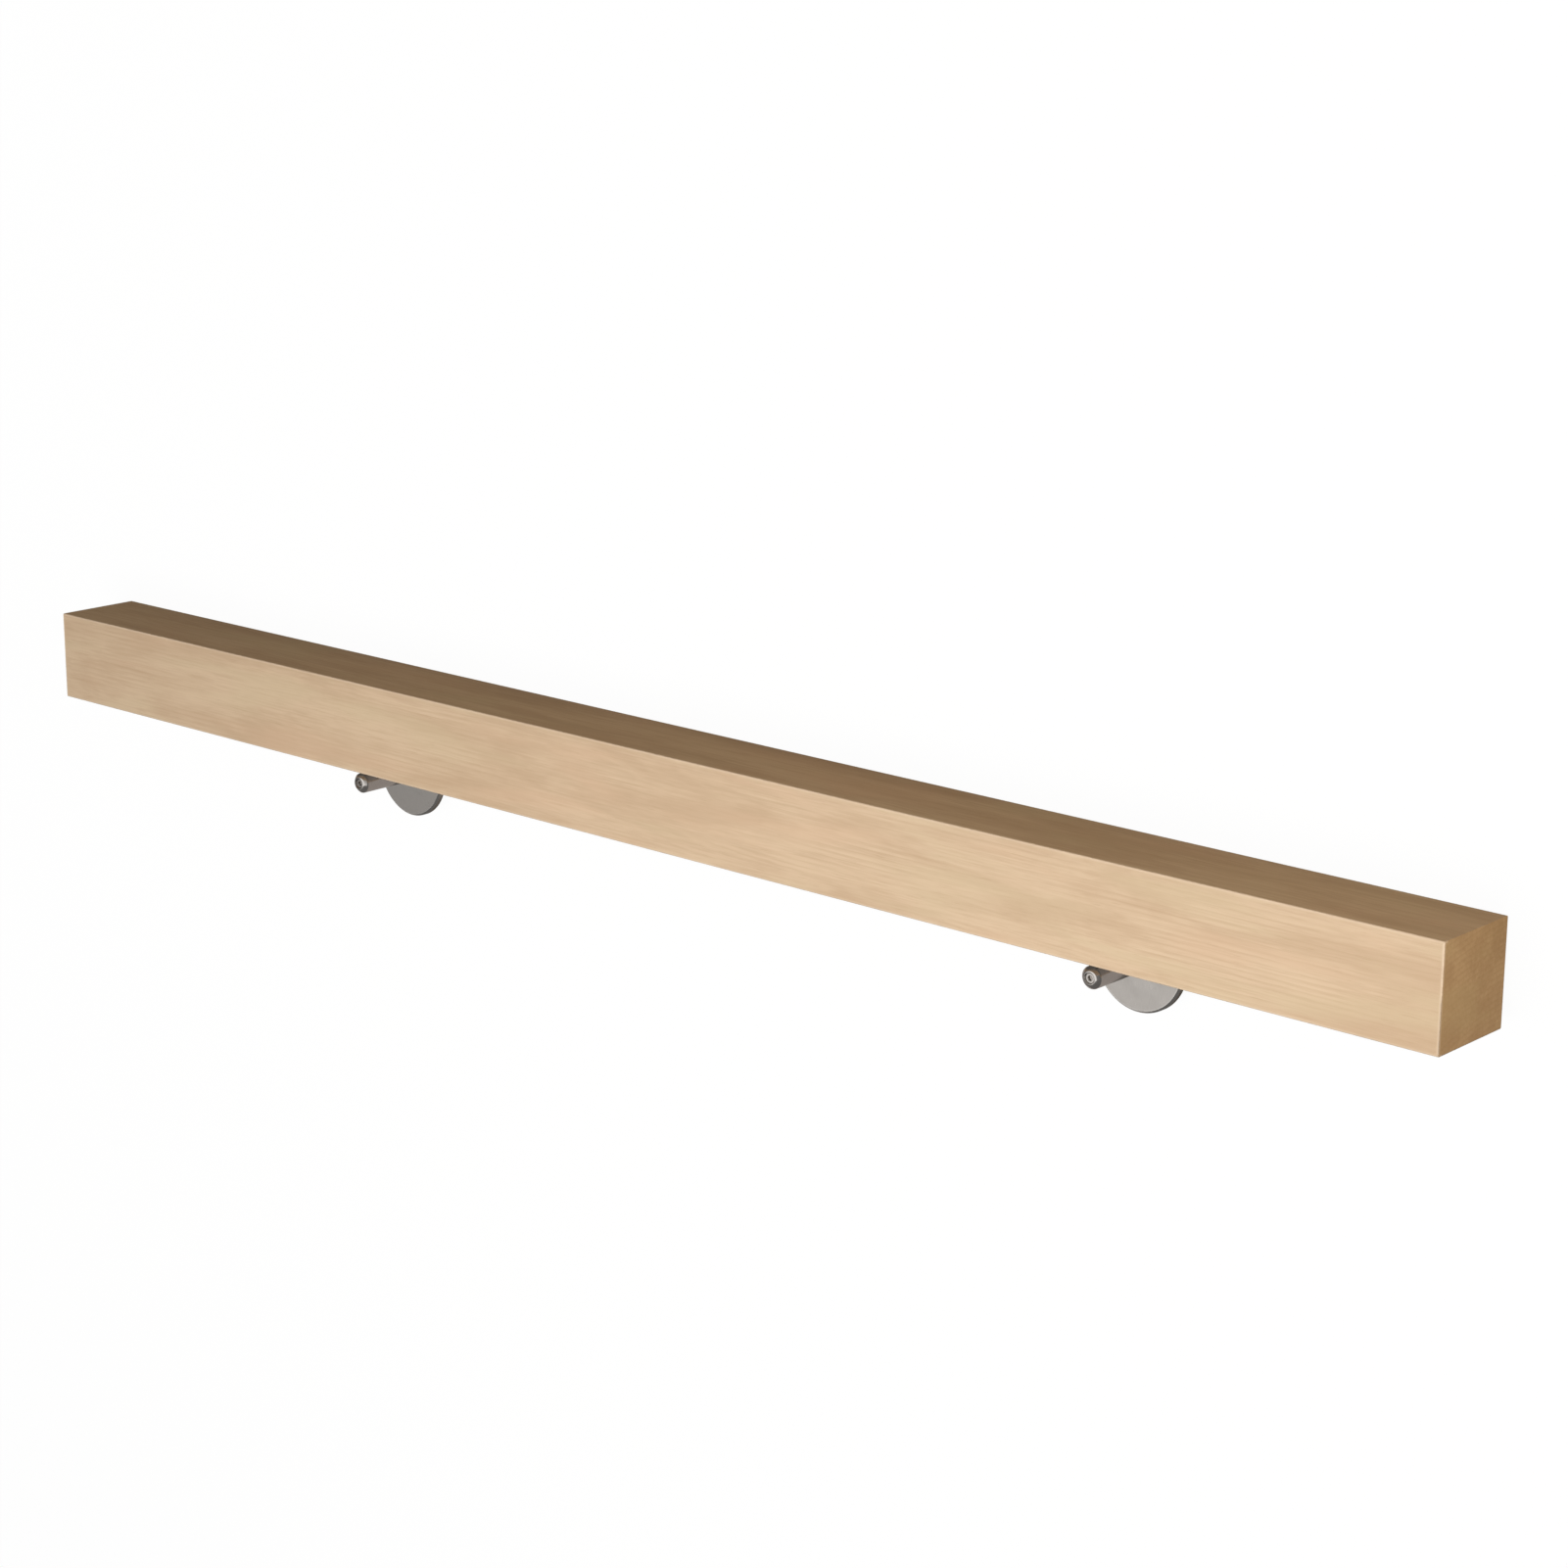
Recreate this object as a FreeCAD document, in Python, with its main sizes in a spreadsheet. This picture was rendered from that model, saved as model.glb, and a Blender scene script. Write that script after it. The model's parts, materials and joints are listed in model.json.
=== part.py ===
import FreeCAD, Part
import Sketcher
import math
import os

# A length of square wooden stair handrail with its two stainless wall brackets.
# Millimetres. The rail frame has X along the rail from its left end, Y from the
# front face to the wall, and Z up from the underside. Each bracket is drawn about
# the point where its arm's axis crosses its post's axis. The part is stored lying
# on its back, on the upper rims of both wall discs and the rail's upper back edge.

doc = FreeCAD.newDocument("handrail")
V = FreeCAD.Vector

# Sizes
SIZES = {
    "rail_length": 1066.8,
    "rail_width": 57.15,
    "rail_height": 57.15,
    "rail_edge_ease": 0.8,
    "bracket_from_left": 276.6,
    "bracket_from_right": 218.2,
    "disc_behind_rail": 3.85,
    "disc_diameter": 58.2,
    "disc_thickness": 4.4,
    "disc_bevel": 1.2,
    "arm_drop": 14.3,
    "arm_diameter": 12.7,
    "arm_wall": 3.3,
    "arm_end_chamfer": 2.2,
    "arm_end_rim": 0.75,
    "arm_mouth_depth": 0.8,
    "spigot_shoulder": 0.85,
    "spigot_wall": 1.5,
    "stud_hole_depth": 22.0,
    "post_diameter": 8.0,
    "post_seat_depth": 4.0,
    "post_flat_depth": 0.6,
    "post_flat_margin": 0.5,
    "saddle_length": 64.0,
    "saddle_width": 26.0,
    "saddle_thickness": 3.0,
    "saddle_corner_radius": 5.0,
    "wood_screw_offset": 23.0,
    "wood_screw_diameter": 4.0,
    "wood_screw_head_diameter": 7.5,
    "wood_screw_length": 28.0,
    "saddle_screw_diameter": 5.0,
    "saddle_screw_head_diameter": 9.0,
    "saddle_screw_length": 9.0,
    "set_screw_length": 6.0,
    "set_screw_chamfer": 0.4,
    "socket_flats": 3.0,
    "socket_depth": 2.0,
    "fit_clearance": 0.05,
}

sheet = doc.addObject("Spreadsheet::Sheet", "sizes")
for row, (alias, value) in enumerate(SIZES.items(), start=1):
    sheet.set(f"A{row}", alias)
    sheet.set(f"B{row}", str(value))
    sheet.setAlias(f"B{row}", alias)
doc.recompute()


# Sketch helpers
def formula(text):
    """Names the sheet before each alias in a formula whose words stand apart."""
    words = text.replace("(", "( ").replace(")", " )").split()
    return " ".join(f"sizes.{word}" if word in SIZES else word for word in words)


def new_body(label):
    body = doc.addObject("PartDesign::Body", label)
    body.Label = label
    return body


def new_sketch(body, role, name, lift="0"):
    """A sketch on one of the body's own origin planes, lifted along its normal."""
    sketch = body.newObject("Sketcher::SketchObject", name)
    support = next(item for item in body.Origin.OriginFeatures if item.Role == role)
    sketch.AttachmentSupport = [(support, "")]
    sketch.MapMode = "FlatFace"
    sketch.setExpression("AttachmentOffset.Base.z", formula(lift))
    return sketch


def hold_point(sketch, geometry, corner, across, up):
    """Holds a point at two formulas from the sketch's origin."""
    start = sketch.getPoint(geometry, corner)
    for kind, axis, value, text in (("DistanceX", -2, start.x, across), ("DistanceY", -1, start.y, up)):
        if text == "0":
            sketch.addConstraint(Sketcher.Constraint("PointOnObject", geometry, corner, axis))
            continue
        held = sketch.addConstraint(Sketcher.Constraint(kind, -1, 1, geometry, corner, value))
        sketch.setExpression(f"Constraints[{held}]", formula(text))


def draw_outline(sketch, corners):
    """A closed outline of straight lines whose corners are pairs of formulas."""
    count = len(corners)
    starts = [V(10 * math.cos(2 * math.pi * i / count), 10 * math.sin(2 * math.pi * i / count), 0)
              for i in range(count)]
    for i in range(count):
        sketch.addGeometry(Part.LineSegment(starts[i], starts[(i + 1) % count]), False)
    for i in range(count):
        sketch.addConstraint(Sketcher.Constraint("Coincident", i, 2, (i + 1) % count, 1))
    for i, (across, up) in enumerate(corners):
        hold_point(sketch, i, 1, across, up)


def draw_circle(sketch, across, up, diameter):
    circle = sketch.addGeometry(Part.Circle(V(3, 4, 0), V(0, 0, 1), 2), False)
    hold_point(sketch, circle, 3, across, up)
    held = sketch.addConstraint(Sketcher.Constraint("Diameter", circle, 4.0))
    sketch.setExpression(f"Constraints[{held}]", formula(diameter))


# Feature helpers
def edges_along(feature, way):
    """The names of a feature's straight edges that run the given way."""
    return [f"Edge{i}" for i, edge in enumerate(feature.Shape.Edges, start=1)
            if abs(edge.tangentAt(edge.FirstParameter).dot(way)) > 0.99]


def pad(body, sketch, length, reverse=False):
    feature = body.newObject("PartDesign::Pad", "Pad")
    feature.Profile = sketch
    feature.setExpression("Length", formula(length))
    feature.Reversed = reverse
    sketch.Visibility = False
    doc.recompute()
    return feature


def pocket(body, sketch, length, reverse=False):
    """Cuts against the sketch's normal, or along it when reversed."""
    before = body.Shape.Volume
    feature = body.newObject("PartDesign::Pocket", "Pocket")
    feature.Profile = sketch
    feature.setExpression("Length", formula(length))
    feature.Reversed = reverse
    doc.recompute()
    if not body.Shape.Volume < before:
        raise RuntimeError(f"{body.Label}: {sketch.Name} cuts nothing")
    return feature


def turned(body, sketch, axis):
    feature = body.newObject("PartDesign::Revolution", "Turned")
    feature.Profile = sketch
    feature.ReferenceAxis = (sketch, [axis])
    feature.Angle = 360
    doc.recompute()
    return feature


def turned_cut(body, sketch, axis):
    before = body.Shape.Volume
    feature = body.newObject("PartDesign::Groove", "TurnedCut")
    feature.Profile = sketch
    feature.ReferenceAxis = (sketch, [axis])
    feature.Angle = 360
    doc.recompute()
    if not body.Shape.Volume < before:
        raise RuntimeError(f"{body.Label}: {sketch.Name} cuts nothing")
    return feature


# Places shared by pieces that fit each other, in the bracket's frame
ARM_REACH = "( rail_width / 2 + disc_behind_rail )"
WALL = f"( {ARM_REACH} + disc_thickness )"
SPIGOT_RADIUS = "( arm_diameter / 2 - spigot_shoulder )"
BORE_RADIUS = "( arm_diameter / 2 - arm_wall )"
SET_SCREW_RADIUS = f"( {BORE_RADIUS} - fit_clearance )"
SET_SCREW_TIP = "- ( post_diameter / 2 - post_flat_depth )"
SET_SCREW_HEAD = f"( {SET_SCREW_TIP} - set_screw_length )"
FRONT = f"( {SET_SCREW_HEAD} - arm_mouth_depth )"
POST_TOP = "( arm_drop - saddle_thickness )"
SCREW_SINK = "( wood_screw_head_diameter - wood_screw_diameter ) / 2"
SADDLE_SCREW_SINK = "( saddle_screw_head_diameter - saddle_screw_diameter ) / 2"


def make_rail():
    """One square length, sawn off at both ends, its long arrises eased, pilot holes below."""
    body = new_body("rail")
    section = new_sketch(body, "YZ_Plane", "rail_section")
    draw_outline(section, [("0", "0"), ("rail_width", "0"), ("rail_width", "rail_height"),
                           ("0", "rail_height")])
    block = pad(body, section, "rail_length")
    ease = body.newObject("PartDesign::Fillet", "RailEase")
    ease.Base = (block, edges_along(block, V(1, 0, 0)))
    ease.setExpression("Radius", formula("rail_edge_ease"))
    doc.recompute()
    for middle in ("bracket_from_left", "rail_length - bracket_from_right"):
        for side in ("-", "+"):
            pilot = new_sketch(body, "XY_Plane", "pilot")
            draw_circle(pilot, f"{middle} {side} wood_screw_offset", "rail_width / 2",
                        "wood_screw_diameter + 2 * fit_clearance")
            pocket(body, pilot, "wood_screw_length - saddle_thickness + fit_clearance", reverse=True)
    return body


def make_disc(label):
    """The round cover plate that lies on the wall, with the arm's spigot in its hole."""
    body = new_body(label)
    section = new_sketch(body, "YZ_Plane", "disc_section")
    hole = f"{SPIGOT_RADIUS} + fit_clearance"
    draw_outline(section, [
        (ARM_REACH, hole),
        (ARM_REACH, "disc_diameter / 2 - disc_bevel"),
        (f"{ARM_REACH} + disc_bevel", "disc_diameter / 2"),
        (WALL, "disc_diameter / 2"),
        (WALL, hole),
    ])
    turned(body, section, "H_Axis")
    return body


def make_arm(label):
    """The round bar: set-screw bore in front, wall-stud bore behind, post bore across."""
    body = new_body(label)
    section = new_sketch(body, "YZ_Plane", "arm_section")
    mouth = "arm_diameter / 2 - arm_end_chamfer - arm_end_rim"
    stud = f"{SPIGOT_RADIUS} - spigot_wall"
    draw_outline(section, [
        (FRONT, mouth),
        (FRONT, "arm_diameter / 2 - arm_end_chamfer"),
        (f"{FRONT} + arm_end_chamfer", "arm_diameter / 2"),
        (ARM_REACH, "arm_diameter / 2"),
        (ARM_REACH, SPIGOT_RADIUS),
        (WALL, SPIGOT_RADIUS),
        (WALL, stud),
        (f"{WALL} - stud_hole_depth", stud),
        (f"{WALL} - stud_hole_depth", "0"),
        ("0", "0"),
        ("0", BORE_RADIUS),
        (SET_SCREW_HEAD, BORE_RADIUS),
        (SET_SCREW_HEAD, mouth),
    ])
    turned(body, section, "H_Axis")
    bore = new_sketch(body, "XZ_Plane", "post_bore")
    draw_outline(bore, [
        ("0", "- post_seat_depth"),
        ("post_diameter / 2 + fit_clearance", "- post_seat_depth"),
        ("post_diameter / 2 + fit_clearance", "arm_diameter"),
        ("0", "arm_diameter"),
    ])
    turned_cut(body, bore, "V_Axis")
    return body


def make_post(label):
    """The upright pin, tapped from above, with a flat for the set screw's tip."""
    body = new_body(label)
    section = new_sketch(body, "XZ_Plane", "post_section")
    tapped = "saddle_screw_diameter / 2 + fit_clearance"
    tapped_to = f"{POST_TOP} - saddle_screw_length"
    draw_outline(section, [
        ("0", "- post_seat_depth"),
        ("post_diameter / 2", "- post_seat_depth"),
        ("post_diameter / 2", POST_TOP),
        (tapped, POST_TOP),
        (tapped, tapped_to),
        ("0", tapped_to),
    ])
    turned(body, section, "V_Axis")
    half_flat = f"( {SET_SCREW_RADIUS} + post_flat_margin )"
    flat = new_sketch(body, "XY_Plane", "post_flat", f"- {half_flat}")
    draw_outline(flat, [("- post_diameter", "- post_diameter"), ("post_diameter", "- post_diameter"),
                        ("post_diameter", SET_SCREW_TIP), ("- post_diameter", SET_SCREW_TIP)])
    pocket(body, flat, f"2 * {half_flat}", reverse=True)
    return body


def make_saddle(label):
    """The flat plate under the rail. Its origin is the middle of its upper face."""
    body = new_body(label)
    plate = new_sketch(body, "XY_Plane", "plate")
    draw_outline(plate, [(f"{a} saddle_length / 2", f"{b} saddle_width / 2")
                         for a, b in (("-", "-"), ("", "-"), ("", ""), ("-", ""))])
    slab = pad(body, plate, "saddle_thickness", reverse=True)
    round_off = body.newObject("PartDesign::Fillet", "SaddleCorners")
    round_off.Base = (slab, edges_along(slab, V(0, 0, 1)))
    round_off.setExpression("Radius", formula("saddle_corner_radius"))
    doc.recompute()
    countersunk(body, "0", "0", "saddle_screw", reverse=False)
    for side in ("-", ""):
        countersunk(body, f"{side} wood_screw_offset", "- saddle_thickness", "wood_screw", reverse=True)
    return body


def countersunk(body, across, level, screw, reverse):
    """A countersunk hole for the named screw, opening on the sketch's side."""
    before = body.Shape.Volume
    spot = new_sketch(body, "XY_Plane", f"{screw}_spot", level)
    draw_circle(spot, across, "0", f"{screw}_diameter")
    doc.recompute()
    hole = body.newObject("PartDesign::Hole", "Countersunk")
    hole.Profile = spot
    hole.Reversed = reverse
    hole.DepthType = "ThroughAll"
    hole.HoleCutType = "Countersink"
    hole.HoleCutCountersinkAngle = 90
    hole.setExpression("Diameter", formula(f"{screw}_diameter + 2 * fit_clearance"))
    hole.setExpression("HoleCutDiameter", formula(f"{screw}_head_diameter + 2 * fit_clearance"))
    doc.recompute()
    if not body.Shape.Volume < before:
        raise RuntimeError(f"{body.Label}: {screw} hole cuts nothing")


def make_saddle_screw(label):
    """The countersunk machine screw, its head's face at the origin, shank downwards."""
    body = new_body(label)
    section = new_sketch(body, "XZ_Plane", "screw_section")
    draw_outline(section, [
        ("0", "0"),
        ("saddle_screw_head_diameter / 2", "0"),
        ("saddle_screw_diameter / 2", f"- {SADDLE_SCREW_SINK}"),
        ("saddle_screw_diameter / 2", "- saddle_screw_length"),
        ("0", "- saddle_screw_length"),
    ])
    turned(body, section, "V_Axis")
    return body


def make_wood_screw(label):
    """The countersunk wood screw, its head's face at the origin, its end as blunt as its pilot hole."""
    body = new_body(label)
    section = new_sketch(body, "XZ_Plane", "screw_section")
    draw_outline(section, [
        ("0", "0"),
        ("wood_screw_head_diameter / 2", "0"),
        ("wood_screw_diameter / 2", SCREW_SINK),
        ("wood_screw_diameter / 2", "wood_screw_length"),
        ("0", "wood_screw_length"),
    ])
    turned(body, section, "V_Axis")
    return body


def make_set_screw(label):
    """The socket set screw between the arm's mouth and the post's flat."""
    body = new_body(label)
    section = new_sketch(body, "YZ_Plane", "screw_section")
    draw_outline(section, [
        (SET_SCREW_HEAD, "0"),
        (SET_SCREW_HEAD, f"{SET_SCREW_RADIUS} - set_screw_chamfer"),
        (f"{SET_SCREW_HEAD} + set_screw_chamfer", SET_SCREW_RADIUS),
        (SET_SCREW_TIP, SET_SCREW_RADIUS),
        (SET_SCREW_TIP, "0"),
    ])
    turned(body, section, "H_Axis")
    socket = new_sketch(body, "XZ_Plane", "socket", f"- {SET_SCREW_HEAD}")
    corner = "socket_flats / sqrt( 3 )"
    draw_outline(socket, [
        (f"{corner}", "0"), (f"{corner} / 2", "socket_flats / 2"),
        (f"- {corner} / 2", "socket_flats / 2"), (f"- {corner}", "0"),
        (f"- {corner} / 2", "- socket_flats / 2"), (f"{corner} / 2", "- socket_flats / 2"),
    ])
    pocket(body, socket, "socket_depth")
    return body


# Rest placement
def rest_placement():
    """Lays the rail frame on its back and puts the origin under the middle."""
    width, height, ease = (sheet.get(a) for a in ("rail_width", "rail_height", "rail_edge_ease"))
    wall = width + sheet.get("disc_behind_rail") + sheet.get("disc_thickness")
    disc_radius = sheet.get("disc_diameter") / 2
    rim_top = disc_radius - sheet.get("arm_drop")
    rim_bottom = -disc_radius - sheet.get("arm_drop")
    out, over = wall - width + ease, height - ease - rim_top
    lean = math.acos(ease / math.hypot(out, over)) - math.atan2(over, out)
    sine, cosine = math.sin(lean), math.cos(lean)
    low = wall * cosine + rim_top * sine
    far = (height - ease) * cosine - ease * sine + ease
    near = rim_bottom * cosine - wall * sine
    turn = FreeCAD.Rotation(V(1, 0, 0), -90 - math.degrees(lean))
    return FreeCAD.Placement(V(-sheet.get("rail_length") / 2, -(far + near) / 2, low), turn)


REST = rest_placement()


def put(body, x=0.0, y=0.0, z=0.0):
    """Places a body whose own origin is at a point of the rail frame."""
    body.Placement = REST.multiply(FreeCAD.Placement(V(x, y, z), FreeCAD.Rotation()))


put(make_rail())
brackets = (("left", sheet.get("bracket_from_left")),
            ("right", sheet.get("rail_length") - sheet.get("bracket_from_right")))
middle = sheet.get("rail_width") / 2
for side, x in brackets:
    axis = -sheet.get("arm_drop")
    for make, piece in ((make_disc, "wall_disc"), (make_arm, "arm"), (make_post, "post"),
                        (make_set_screw, "set_screw")):
        put(make(f"{side}_{piece}"), x, middle, axis)
    put(make_saddle(f"{side}_saddle"), x, middle)
    put(make_saddle_screw(f"{side}_saddle_screw"), x, middle)
    for letter, way in (("a", -1), ("b", 1)):
        put(make_wood_screw(f"{side}_wood_screw_{letter}"),
            x + way * sheet.get("wood_screw_offset"), middle, -sheet.get("saddle_thickness"))
doc.recompute()

# Check and write
for item in doc.Objects:
    if "Invalid" in item.State or "Error" in item.State:
        raise RuntimeError(f"{item.Label} failed: {item.State}")
os.makedirs("parts", exist_ok=True)
for body in doc.findObjects("PartDesign::Body"):
    if body.Shape.isNull() or not body.Shape.isValid() or len(body.Shape.Solids) != 1:
        raise RuntimeError(f"{body.Label} isn't one valid solid")
    body.Shape.exportStep(f"parts/{body.Label}.step")
    box = body.Shape.BoundBox
    print(f"{body.Label}: volume {body.Shape.Volume:.1f}, lowest {box.ZMin:.3f},"
          f" {box.XLength:.2f} x {box.YLength:.2f} x {box.ZLength:.2f}")
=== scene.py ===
import bpy
import bmesh
import json
import math
from mathutils import Matrix, Vector


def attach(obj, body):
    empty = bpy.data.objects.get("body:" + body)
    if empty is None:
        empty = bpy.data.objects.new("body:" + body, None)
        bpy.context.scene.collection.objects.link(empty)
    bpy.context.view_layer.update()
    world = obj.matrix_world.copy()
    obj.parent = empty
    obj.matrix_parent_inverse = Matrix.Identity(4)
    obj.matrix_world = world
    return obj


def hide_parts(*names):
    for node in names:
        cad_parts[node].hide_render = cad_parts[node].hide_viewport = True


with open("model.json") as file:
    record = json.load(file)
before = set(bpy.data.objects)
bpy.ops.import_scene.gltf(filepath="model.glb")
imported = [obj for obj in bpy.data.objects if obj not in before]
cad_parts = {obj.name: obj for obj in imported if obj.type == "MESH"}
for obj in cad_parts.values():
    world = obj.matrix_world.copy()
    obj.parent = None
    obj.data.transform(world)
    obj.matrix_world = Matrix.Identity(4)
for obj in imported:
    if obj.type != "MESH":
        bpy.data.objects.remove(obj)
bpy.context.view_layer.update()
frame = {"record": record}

# The rail is one length of clear maple, planed square and sanded, with its long arrises eased
# by hand and its sawn ends left crisp. It is oiled to a thin satin, and four blind pilot holes
# are drilled in its underside for the screws of the two saddles.
mounts = {mount["name"]: mount for mount in frame["record"]["mounts"]}
ALONG = Vector((1, 0, 0))
TO_WALL = Vector(mounts["left_wall_face"]["axis"]).normalized()
UPWARD = ALONG.cross(TO_WALL)
RAIL_SIDE = 0.05715
RAIL_EASE = 0.0008
RAIL_END_BREAK = 0.0003
RAIL_START = Vector(mounts["left_end_face"]["pos_m"]) - (TO_WALL + UPWARD) * RAIL_SIDE / 2
RAIL_END = Vector(mounts["right_end_face"]["pos_m"]) - (TO_WALL + UPWARD) * RAIL_SIDE / 2
RAIL_LENGTH = (RAIL_END - RAIL_START).length
SCREW_OFFSET = 0.023
PILOT_RADIUS, PILOT_DEPTH, PILOT_POINT = 0.00205, 0.02505, 0.6
DRILL_START = 0.001
SHADED_SHARP = math.radians(35)
REAL_CORNER = math.radians(60)
ON_AXIS = 1e-9

# The handrail is stored lying on its back, so the rail's own directions lean. This turns a point
# measured along, towards the wall and up from the rail's lower front corner into its real place.
HANDRAIL = Matrix.Translation(RAIL_START) @ Matrix((ALONG, TO_WALL, UPWARD)).transposed().to_4x4()
bracket_along = {side: (Vector(mounts[f"{side}_wall_stud"]["pos_m"]) - RAIL_START).dot(ALONG)
                 for side in ("left", "right")}
UPRIGHT = Matrix.Rotation(math.radians(90), 4, "X")


def new_piece(name, mesh, place, material, slot, *nodes):
    """Links a mesh drawn about its own origin, puts it in its place, and rides it."""
    mesh.set_sharp_from_angle(angle=SHADED_SHARP)
    mesh.materials.clear()
    mesh.materials.append(material)
    piece = bpy.data.objects.new(name, mesh)
    piece.matrix_world = place
    bpy.context.scene.collection.objects.link(piece)
    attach(piece, "root")
    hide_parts(*nodes)
    return piece


def finished_mesh(name, body, smooth=True):
    """Turns a drawn body into a mesh with its faces outwards."""
    bmesh.ops.recalc_face_normals(body, faces=body.faces)
    for face in body.faces:
        face.smooth = smooth
    mesh = bpy.data.meshes.new(name)
    body.to_mesh(mesh)
    body.free()
    return mesh


def turned_mesh(name, outline, turns=96, pitch=None):
    """A solid turned about Y. The outline holds (y, radius) corners, with a thread depth where
    the surface is threaded. It starts and ends on the axis, or closes on itself as a ring."""
    body = bmesh.new()
    rings = []
    for y, radius, *thread in outline:
        if radius < ON_AXIS:
            rings.append([body.verts.new((0, y, 0))])
            continue
        ring = []
        for i in range(turns):
            angle = 2 * math.pi * i / turns
            crest = 1 - abs(2 * ((y / pitch - i / turns) % 1.0) - 1) if thread else 0.0
            reach = radius + (thread[0] * crest if thread else 0.0)
            ring.append(body.verts.new((reach * math.cos(angle), y, reach * math.sin(angle))))
        rings.append(ring)
    pairs = list(zip(rings, rings[1:]))
    if len(rings[0]) > 1 and len(rings[-1]) > 1:
        pairs.append((rings[-1], rings[0]))
    for low, high in pairs:
        for i in range(turns):
            j = (i + 1) % turns
            corners = [low[i % len(low)], low[j % len(low)],
                       high[j % len(high)], high[i % len(high)]]
            body.faces.new(list(dict.fromkeys(corners)))
    return finished_mesh(name, body)


def threaded(start, end, radius, depth, pitch, rows=6):
    """Outline rows of a threaded stretch, close enough to show each crest and root."""
    count = max(2, round((end - start) / pitch * rows))
    return [(start + (end - start) * i / count, radius, depth) for i in range(count + 1)]


def cut(mesh, *cutters):
    """Takes each (mesh, place) cutter away from a mesh, and returns the solid that is left."""
    whole = bpy.data.objects.new("being cut", mesh)
    bpy.context.scene.collection.objects.link(whole)
    tools = []
    for tool_mesh, place in cutters:
        tool = bpy.data.objects.new("cutter", tool_mesh)
        tool.matrix_world = place
        bpy.context.scene.collection.objects.link(tool)
        step = whole.modifiers.new("cut", "BOOLEAN")
        step.operation = "DIFFERENCE"
        step.solver = "EXACT"
        step.object = tool
        tools.append(tool)
    depsgraph = bpy.context.evaluated_depsgraph_get()
    result = bpy.data.meshes.new_from_object(whole.evaluated_get(depsgraph))
    result.name = mesh.name
    for item in (whole, *tools):
        bpy.data.objects.remove(item)
    return result


def rail_mesh():
    """The square bar: long edges rounded, then the sawn edges at both ends broken."""
    bar = bmesh.new()
    bmesh.ops.create_cube(bar, size=1.0)
    bmesh.ops.scale(bar, vec=(RAIL_LENGTH, RAIL_SIDE, RAIL_SIDE), verts=bar.verts)
    bmesh.ops.translate(bar, vec=(RAIL_LENGTH / 2, RAIL_SIDE / 2, RAIL_SIDE / 2), verts=bar.verts)
    arrises = [edge for edge in bar.edges
               if abs(edge.verts[0].co.x - edge.verts[1].co.x) > RAIL_LENGTH / 2]
    bmesh.ops.bevel(bar, geom=arrises, offset=RAIL_EASE, segments=5, profile=0.5, affect="EDGES")
    sawn = [edge for edge in bar.edges if edge.calc_face_angle(0) > REAL_CORNER]
    bmesh.ops.bevel(bar, geom=sawn, offset=RAIL_END_BREAK, segments=2, profile=0.5, affect="EDGES")
    drilled = []
    for middle in bracket_along.values():
        for offset in (-SCREW_OFFSET, SCREW_OFFSET):
            pilot = turned_mesh("pilot", [
                (DRILL_START, 0),
                (DRILL_START, PILOT_RADIUS),
                (-PILOT_DEPTH, PILOT_RADIUS),
                (-PILOT_DEPTH - PILOT_RADIUS * PILOT_POINT, 0),
            ], turns=24)
            mouth = Matrix.Translation((middle + offset, RAIL_SIDE / 2, 0)) @ UPRIGHT.inverted()
            drilled.append((pilot, mouth))
    return cut(finished_mesh("rail_maple", bar), *drilled)


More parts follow.
